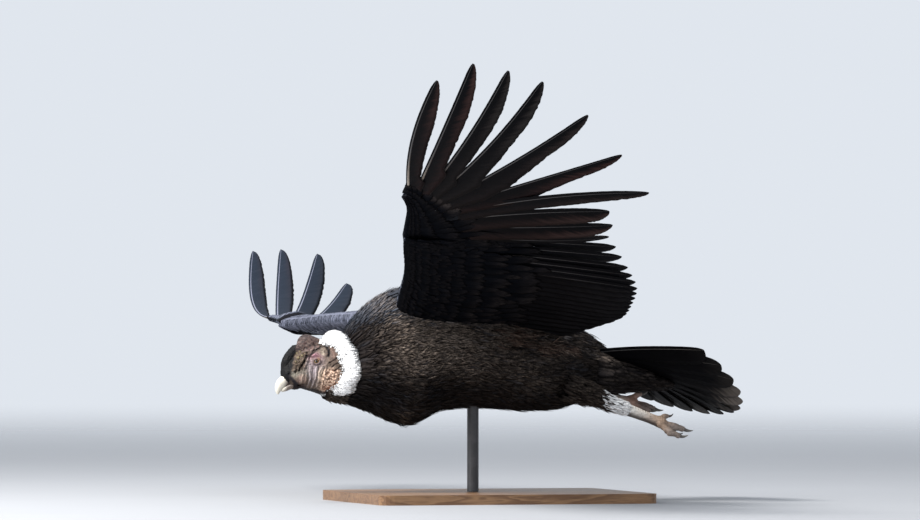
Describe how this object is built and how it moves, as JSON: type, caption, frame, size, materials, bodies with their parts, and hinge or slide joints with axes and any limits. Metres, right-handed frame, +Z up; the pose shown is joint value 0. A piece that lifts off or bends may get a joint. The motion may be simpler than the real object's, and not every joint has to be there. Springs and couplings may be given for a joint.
{
  "type": "andean condor in flight",
  "caption": "Life-size adult male Andean condor gliding in a bank, wings spread with fingered tips and legs trailed, held by a short rod on a flat base plate.",
  "frame": {"origin": "on the floor, under the centre of the model's bounding box", "axes": "+Z up; the bird flies towards -X with its left side and raised left wing towards -Y; +Y is the right wing's side"},
  "size_m": [1.076, 2.5688, 0.957],
  "materials": {
    "plumage": "matt contour feathers, dark brown to black",
    "flight": "satin black flight feathers with a faint blue-grey sheen",
    "down": "matt white down",
    "skin": "wrinkled bare skin, grey-brown to tan",
    "comb": "fleshy grey-brown comb",
    "bill": "ivory horn",
    "eye": "wet, dark pupil in an amber-brown iris",
    "leg": "chalk-whitened scaled skin",
    "foot": "tan scaled skin",
    "claw": "dark horn",
    "stand_board": "dark stained hardwood board, satin",
    "stand_rod": "satin black paint on steel"
  },
  "bodies": {
    "root": {"ruff": "down", "trunk": "plumage", "head": "skin", "comb": "comb", "beak_upper": "bill", "beak_lower": "bill", "eye_left": "eye", "eye_right": "eye", "leg_left_shin": "plumage", "leg_left_tarsus": "leg", "foot_left": "foot", "claw_left_outer": "claw", "claw_left_middle": "claw", "claw_left_inner": "claw", "claw_left_hind": "claw", "leg_right_shin": "plumage", "leg_right_tarsus": "leg", "foot_right": "foot", "claw_right_outer": "claw", "claw_right_middle": "claw", "claw_right_inner": "claw", "claw_right_hind": "claw", "tail": "flight", "wing_left_inner": "plumage", "wing_left_hand": "plumage", "wing_left_primary_4": "flight", "wing_left_primary_5": "flight", "wing_left_primary_6": "flight", "wing_left_primary_7": "flight", "wing_left_primary_8": "flight", "wing_left_primary_9": "flight", "wing_left_primary_10": "flight", "wing_right_inner": "plumage", "wing_right_hand": "plumage", "wing_right_primary_4": "flight", "wing_right_primary_5": "flight", "wing_right_primary_6": "flight", "wing_right_primary_7": "flight", "wing_right_primary_8": "flight", "wing_right_primary_9": "flight", "wing_right_primary_10": "flight", "stand_base": "stand_board", "stand_rod": "stand_rod"}
  },
  "joints": []
}
